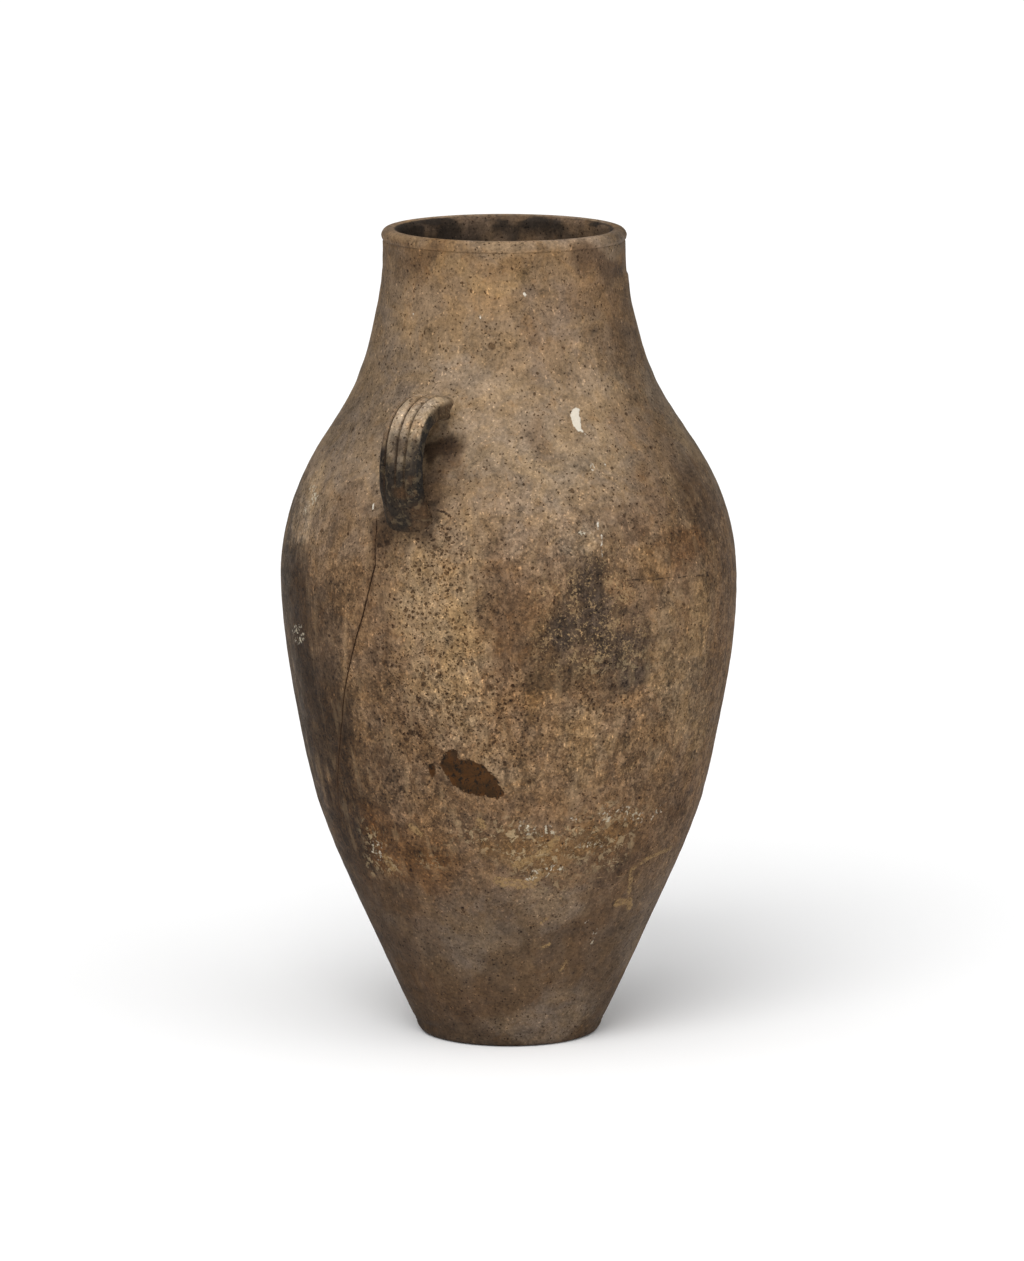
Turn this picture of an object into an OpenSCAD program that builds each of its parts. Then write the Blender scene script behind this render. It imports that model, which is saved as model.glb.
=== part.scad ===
// Large two-handled storage amphora, hand-built from thrown clay sections luted one on another.
// Origin at the centre of the underside, +Z up, one handle on each side along X. Millimetres.

/* [Heights] */
// Height of the whole jar
jar_h = 800; // [796:2:808]
// Thickness of the clay disc that the jar stands on
base_t = 12; // [12:8:20]
// Joint between the lower and the middle wall section
knee_z = 236; // [220:8:252]
// Height of the widest circle of the belly
belly_z = 456; // [448:4:464]
// Joint between the middle and the upper wall section
belly_joint_z = 476; // [468:8:484]
// Joint between the shoulder and the neck
neck_joint_z = 652; // [644:8:660]
// Underside of the rolled rim
rim_z = 788; // [780:8:788]

/* [Radii] */
// Underside of the base disc
base_r = 86; // [80:1:90]
// Foot of the wall, where it stands on the base disc
foot_r = 93; // [90:1:96]
// Outside of the lower section at half its height
lower_mid_r = 147.5; // [144:0.5:150]
// Outside at the joint above the lower section
knee_r = 189; // [186:1:192]
// Outside of the flank between that joint and the belly
flank_r = 204; // [202:1:206]
// Outside of the belly at its widest
belly_r = 224; // [220:1:228]
// Outside of the shoulder, level with the finger gaps
shoulder_r = 180; // [177:1:183]
// Outside where the neck springs from the shoulder
neck_root_r = 144.5; // [142:0.5:147]
// Outside of the neck at a third of its height
neck_mid_r = 129.5; // [128:0.5:131]
// Outside of the neck under the rim
throat_r = 118; // [117:0.5:119]
// Outside of the rolled rim
rim_r = 119.5; // [119.5:0.5:121]
// Inside of the mouth
mouth_r = 103; // [101:0.5:104]

/* [Walls] */
// Wall thickness, square to the surface
wall_t = 14; // [12:1:16]
// How far the bevel of a wall joint rises from outside to inside
lap = 8; // [8:8:16]
// Height of each band of clay smeared over a joint inside the jar
lute_h = 48; // [32:16:64]
// Thickness of those bands at the joint
lute_t = 6; // [4:1:8]
// Height and width of the coil pressed into the corner between floor and wall
corner_coil = 24; // [16:8:32]

/* [Handles] */
// Width of the strap
strap_w = 44; // [40:1:48]
// Extra half width of the strap at its lower end
strap_flare = 4; // [0:1:6]
// Width of each finger groove down the strap
groove_w = 2.4; // [1:0.2:3]
// Depth of those grooves
groove_depth = 1.6; // [0.8:0.2:2]
// Radius of the ball that shapes a root pad
pad_ball_r = 64; // [60:1:70]
// How far a root pad stands proud of the wall
pad_h = 9; // [8:0.5:10]
// Height of the middle of the upper root
upper_root_z = 640; // [636:1:642]
// Height of the middle of the lower root
lower_root_z = 534; // [530:1:538]

/* [Hidden] */
$fn = 96;
pitch = 8;
clay = [0.47, 0.38, 0.29];
clay_dark = [0.36, 0.29, 0.22];
clay_pale = [0.55, 0.46, 0.36];
clay_inside = [0.33, 0.28, 0.23];

// Outline of the wall's outside: height, radius, and slope of radius over height.
outline = [
    [base_t, foot_r, 0.47],
    [(base_t + knee_z) / 2 + 8, lower_mid_r, 0.46],
    [knee_z, knee_r, 0.30],
    [knee_z + 64, flank_r, 0.20],
    [belly_z, belly_r, 0],
    [neck_joint_z - 60, shoulder_r, -0.67],
    [neck_joint_z, neck_root_r, -0.44],
    [neck_joint_z + 48, neck_mid_r, -0.25],
    [rim_z - 20, throat_r, -0.02],
    [jar_h, throat_r, 0]
];

// Height in the neck above which its inside is a straight bore.
bore_z = rim_z - 4 * pitch;

// Cubic through two stations of the outline, at height z.
function span_r(a, b, z) =
    let (h = b[0] - a[0], t = (z - a[0]) / h)
        a[1] * (2 * t ^ 3 - 3 * t ^ 2 + 1) + a[2] * h * (t ^ 3 - 2 * t ^ 2 + t)
        + b[1] * (3 * t ^ 2 - 2 * t ^ 3) + b[2] * h * (t ^ 3 - t ^ 2);

function station(z) =
    max([0, for (k = [0:len(outline) - 2]) if (z >= outline[k][0]) k]);

function outer_r(z) = let (k = station(z)) span_r(outline[k], outline[k + 1], z);
function slope(z) = outer_r(z + 0.5) - outer_r(z - 0.5);

// The wall is as thick as wall_t square to the surface, and its bore is straight at the throat.
function inner_r(z) =
    z >= bore_z ? mouth_r : outer_r(z) - wall_t * sqrt(1 + slope(z) ^ 2);

// Heights from a to b in steps of the pitch, so that neighbours share the same points.
function levels(a, b) = [for (z = [a:pitch:b]) z];
function reversed(list) = [for (k = [len(list) - 1:-1:0]) list[k]];

// One wall section from joint a to joint b. A bevelled joint ends lap higher inside than outside.
module wall_section(a, b, lap_a, lap_b) {
    rotate_extrude()
        polygon(concat(
            [for (z = levels(a, b)) [outer_r(z), z]],
            [for (z = reversed(levels(a + lap_a, b + lap_b))) [inner_r(z), z]]
        ));
}

// A band of clay over a joint on the inside, thickest at its middle.
module lute_band(joint) {
    low = joint + lap - lute_h / 2;
    high = low + lute_h;
    rotate_extrude()
        polygon(concat(
            [for (z = levels(low, high)) [inner_r(z), z]],
            [for (z = reversed(levels(low + pitch, high - pitch)))
                [inner_r(z) - lute_t * sin(180 * (z - low) / lute_h), z]]
        ));
}

// Everything inside the outer surface near the handles, which the handle pieces are cut back to.
module wall_envelope() {
    low = belly_joint_z - 10 * pitch;
    high = neck_joint_z + 8 * pitch;
    rotate_extrude()
        polygon(concat(
            [[0, low]],
            [for (z = levels(low, high)) [outer_r(z), z]],
            [[0, high]]
        ));
}

// Cubic Bezier through four control points.
function bezier(p, t) =
    p[0] * (1 - t) ^ 3 + 3 * p[1] * t * (1 - t) ^ 2 + 3 * p[2] * t ^ 2 * (1 - t) + p[3] * t ^ 3;
function curve(p, steps, first = 0) = [for (k = [first:steps]) bezier(p, k / steps)];

// Side view of the strap, as distance from the jar's axis and height.
strap_outer = concat(
    curve([[150, 652], [180, 656], [212, 648], [226, 616]], 12),
    curve([[226, 616], [235, 590], [241, 560], [205, 512]], 14, 1)
);
strap_inner = concat(
    curve([[150, 629], [176, 634], [199, 634], [210, 612]], 10),
    curve([[210, 612], [219, 590], [224, 572], [192, 530]], 12, 1)
);
// Its upper end is carried on through the wall, to be cut back to it.
tail_r = 120;
tail_drop = 7;
strap_side = concat(
    [[tail_r, strap_outer[0][1] - tail_drop]], strap_outer,
    reversed(strap_inner), [[tail_r, strap_inner[0][1] - tail_drop]]
);
// Heights of the strap's lowest point, of where it stops spreading, and of its top.
strap_low = 500;
strap_even = 566;
strap_high = 670;
// Distances from the jar's axis that the strap lies between.
strap_near = 100;
strap_far = 250;
// Where the finger grooves run, across the strap.
groove_at = [-15, -3, 7];

// The same path moved square to itself, to its left as it runs.
function moved(path, by) = [
    for (k = [0:len(path) - 1])
        let (d = path[min(k + 1, len(path) - 1)] - path[max(k - 1, 0)])
            path[k] + by * [-d[1], d[0]] / norm(d)
];

// A flat outline in the X-Z plane, given a thickness along Y and centred on it.
module slab(points, thickness, y = 0) {
    translate([0, y + thickness / 2, 0])
        rotate([90, 0, 0])
            linear_extrude(height = thickness)
                polygon(points);
}

// Front view of the strap: even down to the lower root, where it spreads.
module strap_front() {
    half = strap_w / 2;
    wide = half + strap_flare;
    translate([strap_near, 0, 0])
        rotate([90, 0, 90])
            linear_extrude(height = strap_far - strap_near)
                polygon([
                    [-wide, strap_low], [wide, strap_low],
                    [half, strap_even], [half, strap_high],
                    [-half, strap_high], [-half, strap_even]
                ]);
}

module strap_blank() {
    intersection() {
        slab(strap_side, strap_w + 2 * strap_flare + 4);
        strap_front();
    }
}

// The loop of the handle with its grooves, cut back to the wall that it is luted to.
module strap() {
    run = [for (k = [3:len(strap_outer) - 4]) strap_outer[k]];
    difference() {
        strap_blank();
        for (y = groove_at)
            slab(concat(moved(run, 4), reversed(moved(run, -groove_depth))), groove_w, y);
        wall_envelope();
    }
}

// The dome of clay smoothed round a handle's root, square to the wall at height z.
module root_pad(z) {
    tilt = atan(-slope(z));
    depth = pad_ball_r - pad_h;
    difference() {
        translate([outer_r(z) - depth * cos(tilt), 0, z - depth * sin(tilt)])
            sphere(r = pad_ball_r);
        wall_envelope();
        strap_blank();
    }
}

// The flat clay disc of the foot, its edge drawn in towards the ground.
module base_disc() {
    color(clay_dark)
        rotate_extrude()
            polygon([
                [0, 0], [base_r, 0], [base_r + 3, 3],
                [foot_r - 1, base_t - 2], [foot_r - 1, base_t], [0, base_t]
            ]);
}

// The coil pressed into the corner where the wall meets the floor.
module base_corner_coil() {
    high = base_t + corner_coil;
    color(clay_inside)
        rotate_extrude()
            polygon(concat(
                [[inner_r(base_t) - corner_coil, base_t]],
                [for (z = levels(base_t, high)) [inner_r(z), z]],
                [[inner_r(base_t) - corner_coil / 4, base_t + corner_coil / 4]]
            ));
}

module lower_wall() {
    color(clay_dark) wall_section(base_t, knee_z, 0, lap);
}

module knee_lute_band() {
    color(clay_inside) lute_band(knee_z);
}

module middle_wall() {
    color(clay) wall_section(knee_z, belly_joint_z, lap, lap);
}

module belly_lute_band() {
    color(clay_inside) lute_band(belly_joint_z);
}

module shoulder_wall() {
    color(clay_pale) wall_section(belly_joint_z, neck_joint_z, lap, lap);
}

module neck_lute_band() {
    color(clay_inside) lute_band(neck_joint_z);
}

module neck() {
    color(clay) wall_section(neck_joint_z, rim_z, lap, 0);
}

// The lip rolled over onto the top of the neck: half an oval on a flat joint.
module rim() {
    half_w = (rim_r - mouth_r) / 2;
    crown = jar_h - rim_z - 1;
    color(clay_pale)
        rotate_extrude()
            polygon(concat(
                [[mouth_r, rim_z], [rim_r, rim_z]],
                [for (a = [0:10:180]) [mouth_r + half_w + half_w * cos(a), rim_z + 1 + crown * sin(a)]]
            ));
}

module right_handle() {
    color(clay) strap();
}

module right_upper_root_pad() {
    color(clay_pale) root_pad(upper_root_z);
}

module right_lower_root_pad() {
    color(clay) root_pad(lower_root_z);
}

module left_handle() {
    rotate([0, 0, 180]) right_handle();
}

module left_upper_root_pad() {
    rotate([0, 0, 180]) right_upper_root_pad();
}

module left_lower_root_pad() {
    rotate([0, 0, 180]) right_lower_root_pad();
}

base_disc();
base_corner_coil();
lower_wall();
knee_lute_band();
middle_wall();
belly_lute_band();
shoulder_wall();
neck_lute_band();
neck();
rim();
left_handle();
left_upper_root_pad();
left_lower_root_pad();
right_handle();
right_upper_root_pad();
right_lower_root_pad();
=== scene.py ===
"""Large two-handled storage amphora in old fired clay: the looks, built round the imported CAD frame."""

import math

import bpy
import numpy as np
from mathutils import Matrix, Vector


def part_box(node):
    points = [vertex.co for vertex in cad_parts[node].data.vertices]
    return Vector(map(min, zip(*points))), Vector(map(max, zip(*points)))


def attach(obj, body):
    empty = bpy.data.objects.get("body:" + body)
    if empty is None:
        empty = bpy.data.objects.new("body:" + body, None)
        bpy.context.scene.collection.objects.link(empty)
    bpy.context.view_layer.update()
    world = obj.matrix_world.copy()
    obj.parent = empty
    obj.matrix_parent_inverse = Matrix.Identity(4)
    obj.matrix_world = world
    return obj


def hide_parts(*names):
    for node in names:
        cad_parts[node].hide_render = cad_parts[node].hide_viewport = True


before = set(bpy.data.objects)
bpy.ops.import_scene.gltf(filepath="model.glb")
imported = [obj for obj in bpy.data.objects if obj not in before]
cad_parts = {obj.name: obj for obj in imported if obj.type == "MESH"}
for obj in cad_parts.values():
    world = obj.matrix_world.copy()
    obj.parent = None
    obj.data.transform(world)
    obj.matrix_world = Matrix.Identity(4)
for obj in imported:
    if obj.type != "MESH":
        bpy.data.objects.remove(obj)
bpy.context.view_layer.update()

MM = 0.001
VIEW_AZIMUTH = math.radians(-63)
TO_CAMERA = np.array([math.sin(VIEW_AZIMUTH), -math.cos(VIEW_AZIMUTH)])
TO_RIGHT = np.array([-TO_CAMERA[1], TO_CAMERA[0]])
FRONT_ANGLE = math.atan2(TO_CAMERA[1], TO_CAMERA[0])


# -------- numbers and noise

def smooth(edge0, edge1, x):
    t = np.clip((np.asarray(x, float) - edge0) / (edge1 - edge0), 0, 1)
    return t * t * (3 - 2 * t)


def lattice(ix, iy, iz, seed):
    h = (ix * 374761393 + iy * 668265263 + iz * 2147483647 + seed * 1274126177) & 0xFFFFFFFF
    h = ((h ^ (h >> 13)) * 1274126177) & 0xFFFFFFFF
    h = ((h ^ (h >> 16)) * 2246822519) & 0xFFFFFFFF
    return ((h ^ (h >> 15)) & 0xFFFFFF) / 0xFFFFFF


def noise(p, size, seed=0):
    """Smooth noise from -1 to 1 at points p (mm), with features about size mm across."""
    q = np.asarray(p, float) / size + 1000
    i = np.floor(q).astype(np.int64)
    f = q - i
    f = f * f * f * (f * (f * 6 - 15) + 10)
    total = 0
    for dx in (0, 1):
        wx = f[:, 0] if dx else 1 - f[:, 0]
        for dy in (0, 1):
            wy = f[:, 1] if dy else 1 - f[:, 1]
            for dz in (0, 1):
                wz = f[:, 2] if dz else 1 - f[:, 2]
                total = total + wx * wy * wz * lattice(i[:, 0] + dx, i[:, 1] + dy, i[:, 2] + dz, seed)
    return total * 2 - 1


def fbm(p, size, octaves=3, seed=0):
    total, amount = 0, 1.0
    for k in range(octaves):
        total = total + amount * noise(p, size / 2 ** k, seed + 17 * k)
        amount *= 0.5
    return total


# -------- the jar's own outline

PITCH = 8.0
WALLS = ["lower_wall", "middle_wall", "shoulder_wall", "neck"]


def rings(node):
    """The heights and radii (mm) of a turned node's edges."""
    co = np.array([v.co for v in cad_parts[node].data.vertices]) / MM
    return np.round(np.hypot(co[:, 0], co[:, 1]), 2), np.round(co[:, 2], 1)


def outline(pick):
    """The walls' outer or inner radius at the heights where the CAD outline has its points."""
    levels = {}
    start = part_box(WALLS[0])[0].z / MM
    for node in WALLS:
        for r, z in zip(*rings(node)):
            if abs((z - start) / PITCH - round((z - start) / PITCH)) < 0.01:
                levels[z] = pick(levels.get(z, r), r)
    z = np.array(sorted(levels))
    return z, np.array([levels[v] for v in z])


OUT_Z, OUT_R = outline(max)
IN_Z, IN_R = outline(min)


def cubic(z, zs, rs):
    """Smooth curve through evenly spaced stations."""
    z = np.clip(z, zs[0], zs[-1])
    k = np.clip(np.searchsorted(zs, z, side="right") - 1, 0, len(zs) - 2)
    t = (z - zs[k]) / (zs[k + 1] - zs[k])
    a, b, c, d = rs[np.maximum(k - 1, 0)], rs[k], rs[k + 1], rs[np.minimum(k + 2, len(rs) - 1)]
    third = (3 * b - a - 3 * c + d) * t ** 3
    return 0.5 * (2 * b + (c - a) * t + (2 * a - 5 * b + 4 * c - d) * t ** 2 + third)


def wall_r(z):
    return cubic(np.asarray(z, float), OUT_Z, OUT_R)


def bore_r(z):
    return cubic(np.asarray(z, float), IN_Z, IN_R)


def top_of(node):
    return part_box(node)[1].z / MM


def foot_of(node):
    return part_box(node)[0].z / MM


BASE_Z = foot_of("lower_wall")
KNEE_Z = foot_of("middle_wall")
BELLY_Z = foot_of("shoulder_wall")
NECK_Z = foot_of("neck")
RIM_Z = foot_of("rim")
JAR_H = top_of("rim")
LAP = top_of("lower_wall") - KNEE_Z
MOUTH_R = rings("rim")[0].min()
RIM_R = rings("rim")[0].max()
BASE_R = rings("base_disc")[0][rings("base_disc")[1] < 0.5].max()


# -------- what age and hands did to it
# Places are (degrees to the right of the camera's side, height in mm).

LEAN = [
    (0, 0.5), (100, 0.8), (240, 0.6), (420, 0.6), (520, 0.2), (600, -1.0), (680, -3.0), (740, -4.4),
    (800, -4.6),
]
CRACK = [(-37.3, 536.6), (-36.4, 520.1), (-35.6, 494.0), (-37.1, 470.4), (-39.1, 443.3), (-41.3, 423.6),
         (-44.6, 391.4), (-47.5, 364.9), (-50.3, 333.3), (-53.9, 302.0), (-57.5, 270.6), (-59.8, 247.9),
         (-60.5, 231.1)]
SPALL = [(-17.9, 314.0), (-16.6, 317.9), (-14.9, 318.8), (-14.0, 314.8), (-13.7, 310.1), (-12.3, 308.5),
         (-9.1, 307.1), (-6.7, 302.8), (-4.8, 295.5), (-3.2, 289.6), (-2.4, 282.1), (-1.4, 278.2),
         (-1.6, 273.1), (-3.3, 268.5), (-5.3, 270.0), (-6.5, 272.9), (-8.6, 271.7), (-11.1, 274.0),
         (-13.5, 278.0), (-15.5, 282.8), (-16.7, 289.4), (-17.9, 295.2), (-19.0, 301.1), (-18.5, 307.0)]
FLAKE = [(-22.7, 301.2), (-21.1, 303.6), (-20.7, 298.7), (-20.7, 291.5), (-21.6, 289.3), (-22.2, 296.2)]
FEATHER = [(24.6, 639.6), (26.6, 641.5), (27.6, 639.2), (26.8, 634.5), (26.8, 629.1), (26.3, 622.5),
           (27.3, 616.4), (26.8, 618.5), (24.7, 620.2), (23.8, 624.3), (23.4, 629.7), (23.6, 635.0)]
# Marks: a path and half its width in mm.
LIME = [
    ([(26.4, 592.0), (27.0, 588.0), (26.0, 583.5), (25.6, 588.0), (26.4, 592.0)], 0.3),
    ([(30.6, 589.5), (30.7, 588.5)], 0.9), ([(24.1, 538.5), (23.9, 532.0)], 0.6),
    ([(24.7, 526.4), (24.4, 517.0)], 0.6), ([(24.1, 513.5), (24.2, 506.0)], 0.3),
    ([(18.0, 247.4), (19.6, 246.6)], 0.7), ([(9.3, 750.0), (9.9, 747.4)], 0.9),
    ([(-45.3, 726.4), (-45.0, 724.6)], 0.5), ([(-10.9, 729.0), (-10.6, 725.0)], 0.4),
    ([(-39.6, 550.5), (-39.4, 546.8)], 0.7), ([(29.5, 133.0), (31.5, 136.0)], 0.3),
]
CRUMBS = [
    ([(28.0, 254.0), (30.0, 248.0), (29.0, 242.0)], 4.0),
    ([(34.0, 253.0), (37.5, 246.0), (42.0, 240.5)], 5.0),
    ([(47.2, 239.0), (48.6, 243.0), (51.0, 246.0)], 3.4), ([(22.0, 219.0), (28.0, 218.0)], 3.0),
    ([(35.4, 112.0), (36.4, 121.5)], 3.4), ([(6.0, 188.0), (16.0, 196.0)], 5.0),
    ([(4.0, 240.0), (12.0, 236.0)], 5.0), ([(-70.0, 408.0), (-66.0, 414.0)], 9.0),
    ([(-47.0, 200.0), (-45.0, 210.0)], 6.0), ([(19.0, 528.6), (21.0, 527.2), (23.6, 530.3)], 1.4),
    ([(-71.0, 556.0), (-66.0, 546.0), (-69.0, 532.0)], 5.0),
]
BRANCH = [
    ([(11.6, 136.5), (12.6, 139.5), (13.6, 141.0)], 1.4),
    ([(12.8, 109.4), (14.4, 111.0), (16.0, 113.0)], 1.5),
    ([(23.6, 83.0), (24.2, 87.0), (25.4, 92.5)], 1.8),
    ([(-4.0, 183.0), (1.0, 181.0), (7.0, 180.0), (10.0, 190.0)], 4.5),
    ([(2.0, 201.0), (6.0, 205.0), (11.0, 214.0), (14.0, 226.0)], 4.0),
    ([(-43.5, 199.0), (-41.0, 188.0)], 4.0), ([(-30.0, 236.0), (-27.0, 228.0)], 2.4),
    ([(-9.0, 246.0), (-7.0, 240.0)], 3.0),
    ([(64.2, 196.9), (58.0, 196.0), (52.3, 194.2), (47.0, 190.0), (43.9, 184.5), (45.5, 171.0),
      (46.9, 158.8)], 2.2),
    ([(43.0, 150.0), (49.0, 150.0), (50.5, 142.0)], 4.2),
]
SCRATCHES = [([(24.2, 244.4), (31.2, 219.2), (39.9, 191.6)], 0.0),
             ([(16.4, 181.8), (27.7, 182.2), (42.3, 178.9)], -0.1)]
FINE_LINES = [([(29.8, 482.6), (38.8, 480.3), (48.2, 478.1), (58.9, 474.9)], 0.55),
              ([(27.5, 372.4), (33.0, 370.0), (38.6, 369.1)], 0.5),
              ([(-19.3, 549.8), (-16.4, 547.4)], 0.8)]


# Distances to marks are given up to this many mm, and only this many degrees to each side of the camera's.
FAR = 60.0
FRONT = 100
CRACK_DEPTH = 2.0


def local_mm(phi, z, phi0, z0):
    return np.radians(phi - phi0) * wall_r(np.full_like(z, z0)), z - z0


def path_distance(phi, z, path):
    """Distance in mm along the wall from points to a path."""
    best = np.full(phi.shape, FAR)
    for (pa, za), (pb, zb) in zip(path, path[1:]):
        ax, az = local_mm(phi, z, pa, za)
        bx, bz = math.radians(pb - pa) * float(wall_r(za)), zb - za
        t = np.clip((ax * bx + az * bz) / max(bx * bx + bz * bz, 1e-9), 0, 1)
        best = np.minimum(best, np.hypot(ax - t * bx, az - t * bz))
    return best


def patch_distance(phi, z, ring):
    """As path_distance for a closed outline, negative inside it."""
    d = path_distance(phi, z, ring + ring[:1])
    inside = np.zeros(phi.shape, bool)
    for (pa, za), (pb, zb) in zip(ring, ring[1:] + ring[:1]):
        if za != zb:
            crosses = (za > z) != (zb > z)
            inside ^= crosses & (phi < (pb - pa) * (z - za) / (zb - za) + pa)
    return np.where(inside, -d, d)


def strokes_distance(phi, z, strokes):
    best = np.full(phi.shape, FAR)
    for path, half in strokes:
        best = np.minimum(best, path_distance(phi, z, path) - half)
    return best


def crack_phi(z):
    zs = np.array([c[1] for c in CRACK][::-1])
    ps = np.array([c[0] for c in CRACK][::-1])
    return np.interp(z, zs, ps)


def on_circle(r, a, z):
    return np.stack([r * np.cos(a), r * np.sin(a), z], -1)


def lean(z):
    """How far the jar leans to the camera's right at height z, as an offset in mm."""
    zs, xs = zip(*LEAN)
    x = np.interp(z, zs, xs)
    return np.stack([x * TO_RIGHT[0], x * TO_RIGHT[1], 0 * z], -1)


def weathering(phi, z, p):
    """How far the outer face stands out of its clean outline, in mm."""
    d = 1.1 * noise(p, 330, 3) + 0.7 * noise(p, 120, 4) + 0.28 * fbm(p, 42, 3, 5) + 0.07 * fbm(p, 9, 2, 6)
    d += 0.16 * np.sin(z / 2.9 + 1.5 * noise(p, 90, 7)) * smooth(-0.2, 0.9, noise(p, 110, 8))
    d += 0.8 * np.exp(-((z - NECK_Z - 6) / 9.0) ** 2) * (0.7 + 0.6 * noise(p, 100, 9))
    d += 0.5 * np.exp(-((z - KNEE_Z) / 7.0) ** 2) * (0.6 + 0.8 * noise(p, 120, 10))
    d -= 0.35 * np.exp(-((z - BELLY_Z - 1) / 1.2) ** 2) * smooth(0.1, 0.6, noise(p, 130, 11))
    d -= 0.7 * np.exp(-((z - RIM_Z) / 0.9) ** 2) + 0.5 * np.exp(-((z - BASE_Z - 1.5) / 1.6) ** 2)
    d += 1.3 * smooth(62, 80, phi) * smooth(130, 110, phi) * smooth(757, 753, z) * smooth(725, 745, z)
    near = np.abs(phi) < FRONT
    if near.any():
        f, h, q = phi[near], z[near], p[near]
        e = d[near]
        crack = path_distance(f, h, CRACK)
        side = np.sign(f - crack_phi(h))
        step = 0.35 * smooth(0, 1, crack) * smooth(9, 1, crack) * side
        e = e - CRACK_DEPTH * smooth(1.1, 0.1, crack) + step
        for ring, depth in ((SPALL, 1.7), (FLAKE, 0.8)):
            s = patch_distance(f, h, ring) + 0.7 * noise(q, 5, 21)
            e = e - (depth + 0.35 * fbm(q, 8, 2, 22)) * smooth(0.5, -1.6, s)
        e = e + 0.45 * smooth(0.8, -0.8, patch_distance(f, h, FEATHER))
        e = e + 0.35 * smooth(0.6, -0.8, strokes_distance(f, h, LIME) + 0.5 * noise(q, 3.5, 23))
        e = e + 0.3 * smooth(0.6, -0.8, strokes_distance(f, h, BRANCH) + 0.9 * noise(q, 4, 24))
        e = e - 0.25 * smooth(0.6, -0.2, strokes_distance(f, h, SCRATCHES))
        e = e - 0.7 * smooth(0.6, -0.4, strokes_distance(f, h, FINE_LINES))
        d[near] = e
    pocks = noise(p, 8.5, 31)
    d -= 0.8 * smooth(0.52, 0.72, pocks) * zone(phi, z, p, PITS)
    crust = smooth(0.15, 0.6, fbm(p, 7, 2, 33)) * zone(phi, z, p, CRUST)
    d += 0.55 * crust
    return d


def blob(phi, z, place, p=None, wobble=0.0, seed=0):
    """1 at the middle of an oval patch, 0 outside; place is (phi, z, half width, half height)."""
    x, y = local_mm(phi, z, place[0], place[1])
    d = np.hypot(x / place[2], y / place[3])
    if wobble and p is not None:
        d = d + wobble * fbm(p, max(12, min(place[2], place[3])), 3, seed)
    return smooth(1.15, 0.35, d)


def turn(phi):
    return (phi + 180) % 360 - 180


def zone(phi, z, p, kind):
    """How far the skin is of one kind, 0 to 1: in set ovals in front, in random patches behind."""
    ovals, (strength, size, seed, low, high, top, bottom) = kind
    here = 0.0
    for amount, oval, wobble, oval_seed in ovals:
        here = np.maximum(here, amount * blob(phi, z, oval, p, wobble, oval_seed))
    behind = smooth(low, high, noise(p, size, seed)) * smooth(95, 125, np.abs(phi)) * smooth(top, bottom, z)
    return np.maximum(here, strength * behind)


# Each kind: ovals of (strength, place, raggedness, seed), then the patches behind as (strength, size, seed,
# noise that starts a patch, noise that fills it, height where they end, height where they are full).
# Pocked clay is mostly left of the middle of the belly.
PITS = (
    [(1.0, (-18, 420, 66, 130), 0.3, 41), (0.8, (-2, 340, 46, 60), 0.3, 42),
     (0.6, (24, 380, 44, 40), 0.3, 43)],
    (0.8, 150, 44, -0.1, 0.5, 600, 500))
# Lime and dirt have caked on low on the belly.
CRUST = (
    [(1.0, (9, 212, 84, 40), 0.45, 51), (0.6, (34, 243, 50, 18), 0.4, 52), (0.8, (-46, 205, 26, 34), 0.5, 53),
     (0.5, (28, 398, 46, 22), 0.4, 54)],
    (0.8, 120, 55, 0.15, 0.6, 420, 300))
# Dark bloom is broken up by the lighter clay under it.
MOTTLE = (
    [(1.0, (22, 440, 60, 84), 0.35, 91), (0.45, (46, 540, 52, 36), 0.4, 92),
     (0.3, (26, 660, 44, 60), 0.4, 93)],
    (1.0, 140, 95, 0.0, 0.6, 640, 520))


# -------- colour, as albedo

CLAY_GAIN = np.array([0.68, 0.66, 0.62])


def clay(r, g, b):
    """Albedo of clay that looks like the given 8-bit colour under the studio's light."""
    c = np.array([r, g, b]) / 255
    return np.where(c <= 0.04045, c / 12.92, ((c + 0.055) / 1.055) ** 2.4) * CLAY_GAIN


TAN, PALE, SAND = clay(154, 129, 99), clay(158, 138, 116), clay(150, 123, 88)
BROWN, EARTH, UMBER, BURNT = clay(122, 97, 74), clay(112, 86, 62), clay(90, 69, 51), clay(68, 51, 36)
SLATE, SOOT, RUST, OCHRE = clay(72, 60, 51), clay(56, 46, 38), clay(104, 74, 46), clay(128, 98, 62)
GREY, ASH, MAUVE, LOAM = clay(130, 113, 97), clay(106, 93, 81), clay(140, 119, 101), clay(102, 81, 62)

# Clay's colour up the jar, before stains.
HEIGHT_TONES = [
    (0, clay(82, 66, 51)), (50, clay(94, 75, 58)), (110, clay(100, 82, 65)),
    (170, clay(112, 91, 72)), (230, clay(118, 93, 70)), (320, clay(126, 102, 78)),
    (480, clay(126, 101, 77)), (545, clay(142, 120, 98)), (600, clay(150, 130, 108)),
    (700, clay(146, 123, 98)), (760, clay(141, 115, 87)), (786, clay(136, 110, 82)),
    (800, clay(142, 122, 102)),
]

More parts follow.
